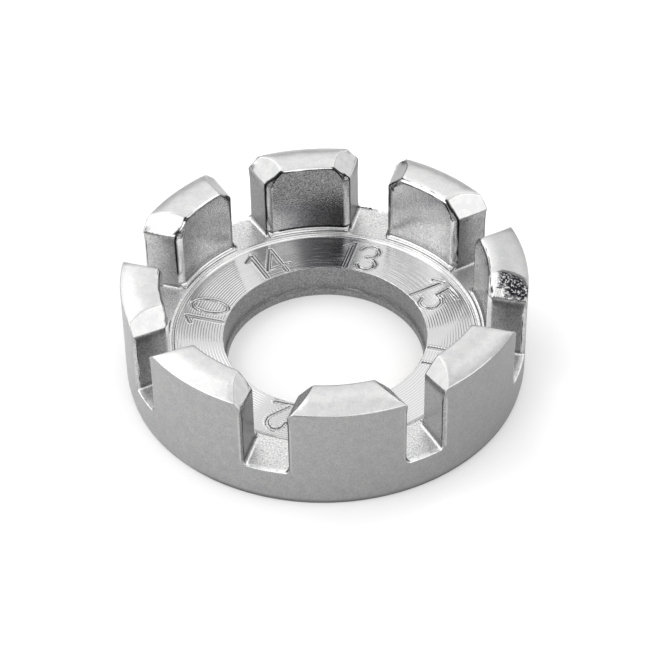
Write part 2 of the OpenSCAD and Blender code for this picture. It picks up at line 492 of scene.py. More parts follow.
# Height of the rows of the outer wall below the slots
WALL_ROWS = [5.18, 5.08, 5.0, 4.88, 4.0, 2.6, 1.4, 1.1, 0.8, 0.4, 0.08]
FIRST_FACE_ROW = len(BOTTOM_ROWS) + len(HOLE_ROWS)
LAST_FACE_ROW = FIRST_FACE_ROW + len(FACE_ROWS)
print("rows:", LAST_FACE_ROW + len(LEDGE_ROWS) + len(ARCH_ROWS) + len(WALL_ROWS))

# %% Columns of the map
FLOOR_COLS, FILLET_COLS, JAW_COLS, CROWN_COLS = 22, 3, 6, 7
# Distance in from the jaw of the columns round its edge, beside the upright faces and under the crown
EDGE_SIDE = np.array([0.16, 0.36, 0.6])
EDGE_TOP = np.array([0.07, 0.15, 0.26])
# Share of the way from the edge to the crease, distance from the crease, and share of the way on from it
ON_SLOPE = np.array([0.2, 0.4, 0.6, 0.8, 0.92])
AT_CREASE = np.array([-0.09, 0.0, 0.09])
ON_FLOOR = np.linspace(0, 1, FLOOR_COLS)
ON_FILLET, ON_JAW, ON_CROWN = (np.linspace(0, 1, n + 1)[1:] for n in (FILLET_COLS, JAW_COLS, CROWN_COLS))
BESIDE_BLOCK = FLOOR_COLS + FILLET_COLS + JAW_COLS
COLS = BESIDE_BLOCK + len(EDGE_SIDE) + len(ON_SLOPE) + len(AT_CREASE) + CROWN_COLS
print("columns in a sixteenth:", COLS)

# %% [markdown]
# ## Angles of the columns
# On the base, the walls and the turned face a row has one radius and one height, so only the angle of
# each column is left to find. It follows from the column's distance to the side of the slot's middle
# line. Over the turned face the floor's columns open out, because the numbers need them there.

# %% Where the slope meets the crown
def crease_at(r):
    """How far into the block the end slope meets the crown at radius r, never so near that columns cross.

    It is the slope's height, or less where a slope with a lift above 1 bulges up to the crown sooner."""
    reach = crown_height(r) - slope_foot(r)
    lift = 4 * 2 ** 0.5 * slope_bulge * through(r) ** 3 / reach
    return np.maximum(reach / np.maximum(lift, 1), NEAREST_CREASE)


print("creases at the wall, mm in:", np.round(crease_at(BODY_R).ravel(), 2).tolist())

# %% Angles of the columns on the plain rows
NUMBER_HALF_WIDTH = 2.85
NEAR_CREASE = 0.1
# How far aside the fillet's columns and the jaw's reach on a plain row
FILLET_SPREAD, JAW_SPREAD = 0.25, 0.2


def in_block(edge, crease):
    """Distances in from the jaw of the columns round its edge, up the slope and at the crease."""
    last = edge[..., -1:]
    groups = [edge, last + (crease - NEAR_CREASE - last) * ON_SLOPE, crease + AT_CREASE]
    return np.concatenate([group + 0 * crease for group in groups], axis=2)


def flat_angles(r, crease):
    """Angle of every column off the slot's middle line: the arc sine of its distance aside over r.

    From the crease on, the rest of the way to the block's middle is shared out evenly."""
    r = on_rows(r)
    fillet = half_jaw - FILLET + FILLET_SPREAD * ON_FILLET
    jaw = half_jaw - JAW_SPREAD * (1 - ON_JAW)
    block = half_jaw + in_block(EDGE_SIDE, crease)
    angle = np.arcsin(np.concatenate([ON_FLOOR * (half_jaw - FILLET), fillet, jaw, block], axis=2) / r)
    last = angle[:, :, -1:]
    return np.concatenate([angle, last + (HALF_BLOCK - last) * ON_CROWN], axis=2)


def face_angles(r):
    """As flat_angles, but the floor's columns open out to the width of a number inside the rim."""
    r = on_rows(r)
    plain = flat_angles(WELL_R, crease_at(WELL_R))
    edge = plain[:, :, FLOOR_COLS - 1:FLOOR_COLS]
    share = (plain - edge) / (HALF_BLOCK - edge)
    half = NUMBER_HALF_WIDTH + (half_jaw - FILLET - NUMBER_HALF_WIDTH) * smooth_step(19.5, 20.9, r)
    floor = np.arcsin(half * ON_FLOOR / r)
    rest = floor[:, :, -1:] + (HALF_BLOCK - floor[:, :, -1:]) * share[:, :, FLOOR_COLS:]
    return np.concatenate([floor, rest], axis=2)


print("a block's half angle:", round(float(np.degrees(face_angles(HOLE_R)[0, 0, -1])), 2), "degrees")

# %% [markdown]
# ## The rows over a block
# The same rows must pass over a block and between two blocks. Over the block they form an arch. In the
# slot they lie side by side on its floor, and on the jaw they fan from one to the other. The map only has
# to be near the surface, because the next step pulls it there.

# %% The arch
ARCH_PLACE = on_rows([share for _, share in ARCH_ROWS])
ON_INNER, ON_TOP, ON_OUTER = (on_rows([kind == side for kind, _ in ARCH_ROWS]) for side in ARCH_SHARES)
ACROSS = np.select([ON_TOP, ON_OUTER], [ARCH_PLACE, 1.0 + 0 * ARCH_PLACE], 0.0)
# How far the arch's ends keep off the upright edges and the floor, and its extra height at the inner edge
OFF_INNER, OFF_OUTER, OFF_FLOOR, RISE, OFF_RIM = 0.08, 0.3, 0.5, 0.35, 0.3


def over_block(q):
    """Radius and height of the arch's rows at distance q in from the jaw.

    The radius goes from the well to the wall, with both ends drawn in near the jaw, where the upright edges
    are bevelled. The height is the lower of crown and end slope, or the row's share of the way up to it."""
    start = WELL_R + np.clip(inner_leg + OFF_INNER - q, 0, None)
    end = BODY_R - np.clip(OFF_OUTER - q, 0, None)
    r = start + (end - start) * ACROSS
    crown = np.minimum(crown_height(r), slope_foot(r) + q)
    foot = FLOOR_Z + OFF_FLOOR + RISE * np.clip(1 - q / inner_leg, 0, 1)
    up = foot + (crown - foot) * ARCH_PLACE
    down = crown + (FLOOR_Z + OFF_RIM - crown) * ARCH_PLACE
    return r, np.select([ON_INNER, ON_OUTER], [up, down], crown)


print("highest row of the arch:", round(float(over_block(5.0)[1].max()), 2), "mm")

# %% Columns over a block
def block_columns():
    """x, y and z over the block: columns round the jaw's edge, over the slope, the crease and the crown."""
    crease = crease_at(WELL_R + (BODY_R - WELL_R) * ACROSS)
    rising, falling = smooth_step(0.9, 1, ARCH_PLACE), smooth_step(0.06, 0, ARCH_PLACE)
    on_top = np.select([ON_TOP, ON_INNER], [1.0, rising], falling)
    q = in_block(EDGE_SIDE + (EDGE_TOP - EDGE_SIDE) * on_top, crease)
    r, z = over_block(q)
    y = half_jaw + q
    start = np.arcsin(y[:, :, -1:] / r[:, :, -1:])
    angle = start + (HALF_BLOCK - start) * ON_CROWN
    crown_r, crown_z = over_block(q[:, :, -1:] + 3 * ON_CROWN)
    x = np.concatenate([np.sqrt(r * r - y * y), crown_r * np.cos(angle)], axis=2)
    y = np.concatenate([y, crown_r * np.sin(angle)], axis=2)
    return x, y, np.concatenate([z, crown_z], axis=2)


print("columns over a block:", block_columns()[0].shape[2])

# %% Columns between the blocks
FLOOR_FIRST_R, FLOOR_REACH, FAN_IN = 21.15, 4.7, 0.5


def slot_columns():
    """x, y and z beside the block: evenly out over the floor, round the fillet, and fanned up the jaw."""
    turn = ON_FILLET * pi / 2
    along = on_rows(np.linspace(0, 1, len(ARCH_ROWS)))
    middle_r = FLOOR_FIRST_R + FLOOR_REACH * along
    wall_r = WELL_R + FAN_IN + (BODY_R - WELL_R - 2 * FAN_IN) * along
    low_y = half_jaw - FILLET * np.concatenate([1 + 0 * ON_FLOOR, 1 - np.sin(turn)]) + 0 * along
    low_y[:, :, :FLOOR_COLS] *= ON_FLOOR
    low_z = FLOOR_Z + FILLET * np.concatenate([0 * ON_FLOOR, 1 - np.cos(turn)]) + 0 * low_y
    low_r = middle_r + (wall_r - middle_r) * np.concatenate([smooth_step(0.5, 1, ON_FLOOR), 1 + 0 * turn])
    jaw_r, jaw_z = over_block(0.0)
    fan_r = wall_r + (jaw_r - wall_r) * ON_JAW
    fan_z = FLOOR_Z + FILLET + (jaw_z - FLOOR_Z - FILLET) * ON_JAW
    fan_y = half_jaw + 0 * fan_z
    x = np.concatenate([np.sqrt(low_r ** 2 - low_y ** 2), np.sqrt(fan_r ** 2 - fan_y ** 2)], axis=2)
    return x, np.concatenate([low_y, fan_y], axis=2), np.concatenate([low_z, fan_z], axis=2)


print("columns between two blocks:", 2 * slot_columns()[0].shape[2])

# %% [markdown]
# ## The whole map
# The pieces of the map are laid one below the other, so that a column runs once round the body. Where a
# jaw leans, the columns near it lean too.

# %% The whole map
# How far in from the wall its first rows keep in a slot, where they are still on the floor's rounded rim
RIM_STEPS = [0.3, 0.12, 0.03]


def polar_rows(rows, angles):
    """Rows that are given as (radius, height), laid out at the columns' angles."""
    r, z = (on_rows(values) for values in zip(*rows))
    return r * np.cos(angles), r * np.sin(angles), z + 0 * angles


def face_rows():
    """The rows over the turned face and its rim, at the height of the floor."""
    rows = FACE_ROWS + LEDGE_ROWS
    x, y, _ = polar_rows([(r, 0) for r in rows], face_angles(rows))
    return x, y, floor_height(x, y)


def wall_rows(outer):
    """The rows of the outer wall below the slots, the first of them drawn in over the floor's rim."""
    x, y, z = polar_rows([(BODY_R, z) for z in WALL_ROWS], outer)
    rim = on_rows(RIM_STEPS + [0] * (len(WALL_ROWS) - len(RIM_STEPS)))
    on_rim = (np.arange(COLS) < BESIDE_BLOCK) & (rim > 0)
    shrink = np.where(on_rim, 1 - rim / BODY_R, 1)
    return x * shrink, y * shrink, np.where(on_rim, np.minimum(z, FLOOR_Z + 0.1), z)


def rough_map():
    """Rows once round the body: base, hole, face, arch and wall; columns from slot to block."""
    outer = flat_angles(BODY_R, crease_at(BODY_R))
    inner = face_angles(HOLE_R)
    share = on_rows(np.linspace(0, 1, len(BOTTOM_ROWS)))
    arch = [np.concatenate(parts, axis=2) for parts in zip(slot_columns(), block_columns())]
    blocks = [polar_rows(BOTTOM_ROWS, outer + (inner - outer) * share),
              polar_rows(HOLE_ROWS, inner), face_rows(), arch, wall_rows(outer)]
    x, y, z = (np.concatenate(parts, axis=1) for parts in zip(*blocks))
    near_jaw = np.concatenate([ON_FLOOR, np.ones(COLS - FLOOR_COLS - CROWN_COLS), 1 - ON_CROWN])
    return x, y - jaw_lean * through(np.hypot(x, y)) * near_jaw, z


print("the map's sides, rows and columns:", rough_map()[0].shape)

# %% [markdown]
# ## Pulling the map onto the body
# Each corner of the map slides straight up or down the field until the field is zero there. Nine of
# Newton's steps do it for every corner at once. A remesh of the same field would put the corners
# anywhere, and the narrow bevels would come out ragged.

# %% Pulling the map onto the body
LONGEST_STEP, FLATTEST = 0.4, 0.05


def slope_of(field, x, y, z, step=0.004):
    """Gradient of a field: the difference across two small steps, over their length."""
    return tuple((field(x + dx, y + dy, z + dz) - field(x - dx, y - dy, z - dz)) / (2 * step)
                 for dx, dy, dz in ((step, 0, 0), (0, step, 0), (0, 0, step)))


def pull(x, y, z, rounds=9):
    """Newton's steps: each point moves along the gradient by field over gradient squared.

    The slot's middle column stays on the middle line, because both sides share it."""
    for _ in range(rounds):
        value = body_field(x, y, z)
        gx, gy, gz = slope_of(body_field, x, y, z)
        step = value / np.maximum(gx * gx + gy * gy + gz * gz, FLATTEST)
        step = np.clip(step, -LONGEST_STEP, LONGEST_STEP)
        x, y, z = x - step * gx, y - step * gy, z - step * gz
        y = np.where(np.arange(COLS) == 0, 0, y)
    return x, y, z


unstamped = pull(*rough_map())
off = np.abs(body_field(*unstamped)[:, LAST_FACE_ROW:]).max()
print("farthest corner outside the face from the body's surface:", round(float(off), 6), "mm")

# %% [markdown]
# ## Pressing the numbers in
# The numbers are pressed in last, as they were on the real wrench. A skin this dense needs no smoothing,
# but its shading does: the normals come from the field itself, so an edge of three narrow faces still
# shades round.

# %% Pressing the numbers in
def stamped_field(x, y, z):
    """The body's field with the strokes in the turned face: over the face, the field a little higher up."""
    over_face = smooth_step(FACE_Z - 0.6, FACE_Z - 0.4, z) * (np.hypot(x, y) < FACE_R)
    return body_field(x, y, z + stamped(x, y) * over_face)


def pressed_skin(x, y, z):
    """The skin with the stamp's depth taken off the face's rows, its normals, and that depth."""
    pressed = np.zeros(z.shape)
    face = slice(FIRST_FACE_ROW, LAST_FACE_ROW)
    pressed[:, face] = stamped(x, y)[:, face]
    normal = np.stack(slope_of(stamped_field, x, y, z - pressed))
    return np.stack([x, y, z - pressed]), normal / np.linalg.norm(normal, axis=0), pressed


place, normal, pressed = pressed_skin(*unstamped)
print("deepest stroke:", round(float(pressed.max()), 3), "mm")

# %% [markdown]
# ## Where the skin has dark lines, bright edges or a pit
# Dark lines are painted along the bevels, and a line of painted shade along the foot of the block with the
# darkest inner face. The inner bevels themselves and the outer edges of the slot floors are painted bright,
# partly as rubbed wear and partly as painted highlight, and one block end has a rough pit. All of these
# follow edges of the shape, so they are worked out here, where the fields are known, and stored at the
# mesh's corners for the material to read.

# %% Dark lines, with painted shade at a block's foot
DARK_LINE_THIN, DARK_LINE_THICK, OUTER_DARK_LINE = 0.05, 0.1, 0.07
# Height and half width of the painted shade at the foot of the block with the darkest inner face, and the
# height where upright edges end
BLOCK_FOOT_SHADE_Z, BLOCK_FOOT_SHADE_HALF, UPRIGHT_TOP = FLOOR_Z + 0.62, 0.14, 13
# How far out the inner bevels reach, and from where on the outer edges begin
INNER_TO, OUTER_FROM = 22.3, 25.4
soot_width = by_side([[0.05, 0.05], [0.05, 0.16], [0.12, 0.12], [0.2, 0.05], [0.16, 0.05]]
                     + [[0.05, 0.05]] * 3)
# How dark each block's inner face is made: partly dull casting, partly painted shade for the dark that it
# mirrors
block_dull = by_block([0.1, 0.0, 0.72, 0.12, 0.0, 0.3, 0.3, 0.3])


def inner_soot(x, y, z, wave):
    """Bells on both sides of the inner bevels, broken by the waves, and one of painted shade at the foot of
    the block with the darkest inner face.
    """
    inner, bevel, top, _ = block_parts(x, y, z)
    aside = y - half_jaw
    over_crown = smooth_step(2.3, 2.7, aside)
    width = DARK_LINE_THIN + (soot_width - DARK_LINE_THIN) * (1 - over_crown)
    below = bell(inner - bevel, np.minimum(width, DARK_LINE_THICK))
    above = bell(top - bevel, width) * (1 - over_crown * (crown_leg < 0.26))
    upper = np.maximum(below, above) * smooth_step(-0.15, 0.1, wave + 1.5 * (width - DARK_LINE_THIN))
    upright = above * smooth_step(-0.3, 0, wave) * (z > FLOOR_Z + 1) * (aside < 1)
    # Painted shade along the block's foot, where it meets the floor
    foot = bell(z - BLOCK_FOOT_SHADE_Z, BLOCK_FOOT_SHADE_HALF) * (np.hypot(x, y) > WELL_R - 0.3) * (block_dull > 0.5)
    foot = foot * smooth_step(-0.25, 0.05, wave + 0.3 * on_map(slot_of == 2))
    lines = np.maximum(np.where(z > UPRIGHT_TOP, upper, upright), foot)
    return lines * (np.hypot(x, y) < INNER_TO) * (aside > -0.3)


def outer_soot(x, y, z, wave):
    """A thin bell where a jaw meets the bevel of its outer upright edge."""
    r = np.hypot(x, y)
    top = block_parts(x, y, z)[2]
    bevel = bevel_plane(r - BODY_R, top, LEAST_BEVEL + OUTER_BEVEL)
    line = bell(top - bevel, OUTER_DARK_LINE) * smooth_step(-0.3, 0, wave) * (r > OUTER_FROM)
    return line * (y - half_jaw < 1) * (z > FLOOR_Z + 0.7) * (z < slope_foot(r) - 0.2)


def soot_lines(x, y, z):
    """The darkest of three: the lines at the inner bevels, those at the outer bevels, and the high burr."""
    wave = ripple(*in_the_ring(x, y), z, CAST_WAVES)
    burr = high_burr * smooth_step(0.1, 0.2, z - FLOOR_Z)
    burr = burr * (np.hypot(x, y) > 25.9) * (z < 6.5) * (y - half_jaw < 0.3)
    return np.maximum(np.maximum(inner_soot(x, y, z, wave), outer_soot(x, y, z, wave)), burr)


soot = soot_lines(*unstamped)
print("share of the corners that is sooty:", round(float((soot > 0.5).mean()), 4))

# %% Bright edges: rubbed wear and painted highlight
def bright_edges(x, y, z, nz):
    """1 on the blocks' inner bevels and, broken by the waves, along the outer edge of each slot floor:
    edges painted bright, partly for rubbed wear and partly as painted highlight.
    """
    inner, bevel, top, _ = block_parts(x, y, z)
    r = np.hypot(x, y)
    on_bevel = smooth_step(0, 0.05, bevel - np.maximum(inner, top)) * (r < INNER_TO) * (z > FLOOR_Z + 0.8)
    ragged = smooth_step(-0.25, 0, ripple(*in_the_ring(x, y), z, FINE_WAVES))
    on_floor = smooth_step(25.75, 25.95, r) * smooth_step(0.2, 0.5, nz) * (np.abs(z - FLOOR_Z - 0.1) < 0.6)
    return np.maximum(on_bevel, on_floor * ragged * (y < half_jaw) * (burr_h < 0.2))


bright = bright_edges(*place, normal[2])
print("share of the corners that is rubbed bright:", round(float((bright > 0.5).mean()), 4))

# %% The casting pit
PIT_SIDE, PIT_MID, PIT_SIZE, PIT_SLANT = 1, (24.15, 4.6), (2.3, 1.45), 0.3


def pit_share(x, y, z, nz):
    """1 inside a slanted oval on a block end beside the slot marked 11, with an edge that waves fray."""
    across = (x - PIT_MID[0]) / PIT_SIZE[0]
    along = (y - PIT_MID[1] + PIT_SLANT * (x - PIT_MID[0])) / PIT_SIZE[1]
    edge = 1 - np.hypot(across, along) + 0.15 * ripple(*in_the_ring(x, y), z, FINE_WAVES)
    on_slope = smooth_step(0.2, 0.4, nz) * (z > 12) * on_map(np.arange(SIDES) == PIT_SIDE)
    return smooth_step(-0.02, 0.06, edge) * on_slope


pit = pit_share(*place, normal[2])
print("corners in the pit:", int((pit > 0.5).sum()))

# %% [markdown]
# ## Where the skin is matt, darkened or grainy
# The outer wall was left as cast and is matt. The slot floors are grainy, the crowns and end slopes were
# ground and are smoother. The outer wall, each jaw and each inner face are darkened by their own amounts,
# partly as dull casting and partly as painted shade for the darker surroundings that they mirror. A zone
# is known by which way its surface faces and how high it lies.

# %% Zones of the skin
# For each zone: what is measured, where its share is 0 and where it is 1. up, out and aside are how far the
# surface faces upwards, away from the axis and away from the slot's middle line
ZONES = {
    "wall": [("out", 0.8, 0.95), ("radius", 25.9, 26.2)],
    "floor": [("up", 0.85, 0.97), ("height", 6, 5.6), ("radius", 20.4, 20.9)],
    "crown": [("up", 0.84, 0.9), ("height", 14, 14.5)],
    "slope": [("aside", -0.45, -0.6), ("up", 0.5, 0.6), ("height", 8, 10)],
    "jaw": [("aside", -0.45, -0.65), ("out", -0.5, -0.3), ("up", 0.5, 0.3)],
    "inside": [("out", -0.85, -0.95), ("height", 5.2, 5.6)],
}


def zone_share(limits, x, y, z, nx, ny, nz):
    """The product of the smooth steps between a zone's limits."""
    r = np.hypot(x, y)
    measured = {"radius": r, "height": z, "out": (nx * x + ny * y) / r, "aside": ny, "up": nz}
    return np.prod([smooth_step(low, high, measured[kind]) for kind, low, high in limits], axis=0)


def means(named):
    """The mean of each named array, to print."""
    return {name: round(float(values.mean()), 3) for name, values in named.items()}


zone_shares = {zone: zone_share(limits, *place, *normal) for zone, limits in ZONES.items()}
print("mean share of each zone:", means(zone_shares))

# %% Matt, dull with painted shade, and grainy
# The outer wall gets the most painted shade between the slots marked 11 and 15, on the side away from the
# light. On that half its foot is painted darker still
SHADED_WALL_AZIMUTH = radians(17.1)
# Levels of the outer wall's darkening, partly dull casting and partly painted shade, its swing of painted
# shade round the wall, and the painted shade of its foot and of the foot's bottom edge
WALL_DULL_AND_SHADE, WALL_SHADE_SWING, WALL_FOOT_SHADE, WALL_FOOT_EDGE_SHADE = 0.46, 0.15, 0.7, 0.92
# How dark each jaw is made: partly dull casting, partly painted shade for what it mirrors
jaw_dull = by_side([[0.5, 0.15], [0.5, 0.55], [0.5, 1.0], [0.8, 0.5],
                    [0.1, 0.5], [0.15, 0.5], [0.8, 0.5], [0.5, 0.45]])
# How much darker two end slopes and the outer parts of two crowns are made
slope_dull = by_side([[0, 0]] * 2 + [[0.65, 0], [0, 0.8]] + [[0, 0]] * 4)
crown_dull = by_block([0.26] + [0] * 6 + [0.14])
# The lower corner of one inner face is left lighter, with less of that darkening
LIGHTER_CORNER_SIDE = 6


def foot_dull(r, z, to_dullest):
    """Painted shade at the foot of the wall, for the floor's shadow that it mirrors: a band, and a darker
    edge at its bottom.
    """
    band = WALL_FOOT_SHADE * smooth_step(0.75, 0.5, z) + (WALL_FOOT_EDGE_SHADE - WALL_FOOT_SHADE) * smooth_step(0.3, 0.1, z)
    return band * smooth_step(-0.8, -0.5, to_dullest) * (r > BODY_R - 2 * FOOT_IN)


def finish_shares(x, y, z):
    """How matt, how darkened by dull casting and painted shade, and how grainy the skin is: each the
    largest of the zones' shares times their levels.
    """
    r = np.hypot(x, y)
    gx, gy = in_the_ring(x, y)
    # How far round the wall faces the side that gets the most painted shade
    to_dullest = np.cos(np.arctan2(gy, gx) - SHADED_WALL_AZIMUTH)
    # The inner faces' darkening, partly dull casting and partly painted shade, lifted in one lower corner;
    # it also sets their grain
    lighter_corner = smooth_step(9, 5.5, y) * smooth_step(11.5, 8.5, z)
    inner_cast_and_shade = block_dull * (1 - 0.9 * lighter_corner * on_map(np.arange(SIDES) == LIGHTER_CORNER_SIDE))
    levels = {
        "matt": {"wall": 1, "floor": 0.6, "crown": 0.5, "jaw": 0.45},
        # The darkening share: dull casting, and painted shade on the outer wall, its foot, the jaws and the
        # inner faces
        "dull": {"wall": WALL_DULL_AND_SHADE + WALL_SHADE_SWING * to_dullest, "slope": slope_dull, "jaw": jaw_dull,
                 "crown": crown_dull * smooth_step(22, 23.4, r), "inside": inner_cast_and_shade},
        "grain": {"wall": 0.2, "floor": 0.65, "crown": 0.1, "jaw": 0.6, "inside": 0.4 + 0.9 * inner_cast_and_shade},
    }
    found = {share: np.max([level * zone_shares[zone] for zone, level in row.items()], axis=0)
             for share, row in levels.items()}
    # The painted shade of the wall's foot joins the darkening
    found["dull"] = np.maximum(found["dull"], foot_dull(r, z, to_dullest))
    return found


shares = finish_shares(*place)
shares.update(pit=pit, bright=bright, pressed=pressed / STAMP_DEPTH, soot=soot)
print("mean of each share:", means(shares))

# %% [markdown]
# ## Sixteen maps joined into one closed skin
# Side by side, with every second one mirrored, the sixteen maps close into a ring, and the last row meets
# the first under the base. The grid then closes on itself both ways, as on a doughnut, and has no seam
# and no pole. So the wrench is one mesh of quads, as it is one piece of steel.

# %% Joining the maps
def joined_ring(values):
    """Each slot's clockwise side backwards, then its counter-clockwise side, and so on round the ring."""
    values = values.reshape(-1, SLOTS, 2, *values.shape[-2:])
    back, forth = values[:, :, 0, :, :0:-1], values[:, :, 1, :, :-1]
    ring = np.concatenate([back, forth], axis=-1)
    return ring.transpose(2, 1, 3, 0).reshape(values.shape[-2], -1, values.shape[0])


def grid_faces(rows, cols):
    """Quads of a grid that closes on itself both ways, each listed down, along and up again."""
    r, c = np.meshgrid(np.arange(rows), np.arange(cols), indexing="ij")
    below, along = (r + 1) % rows, (c + 1) % cols
    quads = np.stack([r * cols + c, below * cols + c, below * cols + along, r * cols + along], axis=-1)
    return quads.reshape(-1, 4)


points = joined_ring(np.stack([*in_the_ring(place[0], place[1]), place[2]]))
normals = joined_ring(np.stack([*in_the_ring(normal[0], normal[1]), normal[2]])).reshape(-1, 3)
faces = grid_faces(*points.shape[:2])
print("rows and columns of the ring:", points.shape[:2])

# %% The skin's mesh
def finish_zones(rows, cols):
    """The material of every face: 0 for plating, 1 for the turned face's rows, 2 for the hole's rows."""
    zone = np.zeros(rows, np.int32)
    zone[len(BOTTOM_ROWS):FIRST_FACE_ROW] = 2
    zone[FIRST_FACE_ROW:LAST_FACE_ROW] = 1
    return np.repeat(zone, cols)


def add_skin(name):
    """The wrench as one closed mesh in metres, with its own normals and its shares as attributes."""
    mesh = bpy.data.meshes.new(name)
    mesh.vertices.add(len(normals))
    mesh.vertices.foreach_set("co", (points * MM).astype(np.float32).ravel())
    mesh.loops.add(faces.size)
    mesh.loops.foreach_set("vertex_index", faces.astype(np.int32).ravel())
    mesh.polygons.add(len(faces))
    mesh.polygons.foreach_set("loop_start", np.arange(0, faces.size, 4, dtype=np.int32))
    mesh.polygons.foreach_set("material_index", finish_zones(*points.shape[:2]))
    mesh.update()
    mesh.validate()
    mesh.shade_smooth()
    mesh.normals_split_custom_set_from_vertices(normals.tolist())
    for share, values in shares.items():
        attribute = mesh.attributes.new(share, "FLOAT", "POINT")
        attribute.data.foreach_set("value", joined_ring(values).astype(np.float32).ravel())
    return add_object(name, mesh)


skin = add_skin("wrench_skin")
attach(skin, "root")
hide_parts("wrench_body")
print(skin.name, "has", 2 * len(faces), "triangles")

# %% Volume of the skin
def signed_volume(a, b, c):
    """Sum of a times (b cross c) over 6, above zero where the faces point outwards."""
    return float(np.einsum("ij,ij->i", a, np.cross(b, c)).sum() / 6)


a, b, c, d = points.reshape(-1, 3)[faces].transpose(1, 0, 2)
print("volume", round(signed_volume(a, b, c) + signed_volume(a, c, d)), "cubic mm")

# %% [markdown]
# ## Wiring finishes like sums
# A node tree is easier to read as a formula. This small class wraps one output of a node, so that plus,
# minus and times between two wires lay down the Math node for them, and one method adds any other kind of
# node.

# %% A wire of a node tree
class Wire:
    """One output socket. a + b, a * 2, a / b, a ** 2 or 1 - a add a Math node; node() adds any other."""

    def __init__(self, tree, socket):
        self.tree, self.socket = tree, socket

    def node(self, kind, output=0, settings=(), **inputs):
        """A new node in the same tree, as a wire from one of its outputs.

        Its settings are made first. An input is named as on the node, with _ for a space, or in0, in1
        and so on by its number."""
        made = self.tree.nodes.new(kind)
        for key, value in dict(settings).items():
            setattr(made, key, value)
        for key, value in inputs.items():
            by_number = key.startswith("in")
            plug(value, made.inputs[int(key[2:])] if by_number else made.inputs[key.replace("_", " ")])
        return Wire(self.tree, made.outputs[output])

    def math(self, operation, first, second=0.0):
        """The Math node of that name on one or two values."""
        return self.node("ShaderNodeMath", settings={"operation": operation}, in0=first, in1=second)

    def __add__(self, other):
        return self.math("ADD", self, other)

    __radd__ = __add__

    def __mul__(self, other):
        return self.math("MULTIPLY", self, other)

    __rmul__ = __mul__

    def __rsub__(self, other):
        return self.math("SUBTRACT", other, self)

    def __truediv__(self, other):
        return self.math("DIVIDE", self, other)

    def __pow__(self, other):
        return self.math("POWER", self, other)

    def between(self, low, high):
        """0 below low and 1 above high, smoothly."""
        return self.node("ShaderNodeMapRange", settings={"interpolation_type": "SMOOTHSTEP"}, Value=self,
                         From_Min=low, From_Max=high)

    def scaled(self, factor):
        """This colour or vector, made that many times as strong."""
        return self.node("ShaderNodeVectorMath", settings={"operation": "SCALE"}, in0=self, Scale=factor)

    def mix(self, low, high):
        """Colour low where this is 0 and high where it is 1."""
        return self.node("ShaderNodeMix", output=2, settings={"data_type": "RGBA"}, in0=self, in6=low,
                         in7=high)


def plug(value, socket):
    """Wires a wire into the socket, or sets the socket to a plain value."""
    if isinstance(value, Wire):
        value.tree.links.new(value.socket, socket)
    else:
        socket.default_value = value


print("what a wire can do besides sums:", [name for name in vars(Wire) if not name.startswith("_")])

# %% [markdown]
# ## Helpers for every finish
# All finishes read the place on the piece in millimetres, so that a cloud of 0.3 is 0.3 mm wide. The
# patterns are in Object coordinates, because the mesh has no UV map and the object never moves from the
# origin.

# %% Helpers for every finish
def new_finish(name):
    """An empty material of that name: its shader, and a wire with the place on the piece in millimetres."""
    material = bpy.data.materials.new(name)
    material.use_nodes = True
    tree = material.node_tree
    start = Wire(tree, tree.nodes.new("ShaderNodeTexCoord").outputs["Object"])
    return material, tree.nodes["Principled BSDF"], start.scaled(1 / MM)


def connect(shader, **inputs):
    """Wires or values into the shader's named inputs."""
    for key, value in inputs.items():
        plug(value, shader.inputs[key.replace("_", " ")])


def noise(place, size, detail=3.0):
    """Cloudy pattern from 0 to 1 whose clouds are about that many millimetres across."""
    return place.node("ShaderNodeTexNoise", Vector=place, Scale=1 / size, Detail=detail, Roughness=0.55)


def bump(height, depth_mm, under=None):
    """Shading normal of a skin that is height times depth_mm proud; under is a normal to lay it on."""
    inputs = {"Height": height, "Distance": depth_mm * MM, "Strength": 1.0}
    if under:
        inputs["Normal"] = under
    return height.node("ShaderNodeBump", **inputs)


def grey(level, blue=0.0):
    """A grey colour of that brightness, a little bluer or yellower."""
    return (level, level, level + blue, 1)


print("a middle grey:", grey(0.5))

# %% [markdown]
# ## Plated steel
# The wrench is cast, ground in places and plated. The plating is pale grey and follows the skin under it,
# so the walls stay grainy, while the crowns and end slopes, which were ground, are smoother and brighter.
# A picture could not be scaled to the wrench without showing its grid, so noise of a known size in
# millimetres makes the grain, the clouds and the specks, and the shares at the corners say where each
# belongs.

# %% Plated skin
# The darkest grey of the next line is mixed in both for dull casting and as painted shade
PLATING_LOW, PLATING_HIGH, DULL_CASTING_AND_SHADE = grey(0.52, 0.005), grey(0.57, -0.005), grey(0.12)
# Greys for specks, for edges painted bright as rubbed wear and painted highlight, for the pit's floor, and
# for dark lines that include painted shade at a block's foot
SPECK, RUBBED_AND_HIGHLIT, PIT_FLOOR, DARK_LINE_GREY = grey(0.08), grey(0.8), grey(0.02, 0.005), grey(0.02)
# Millimetres across the grain, the clouds, the pit's cells, the streaks and the specks
GRAIN, CLOUDS, CELLS, STREAKS, SPECKS = 0.2, 1.1, 0.3, 0.45, 0.42
# Streaks are drawn out upwards, and bumps stand proud in mm
STREAK_HEIGHT, STREAK_BUMP, GRAIN_BUMP, CUSP_BUMP, HOLE_BUMP = (1, 1, 0.35), 0.012, 0.2, 0.03, 0.12


def share_of(place, name):
    """One of the shares that the skin carries at its corners."""
    return place.node("ShaderNodeAttribute", output=2, settings={"attribute_name": name})


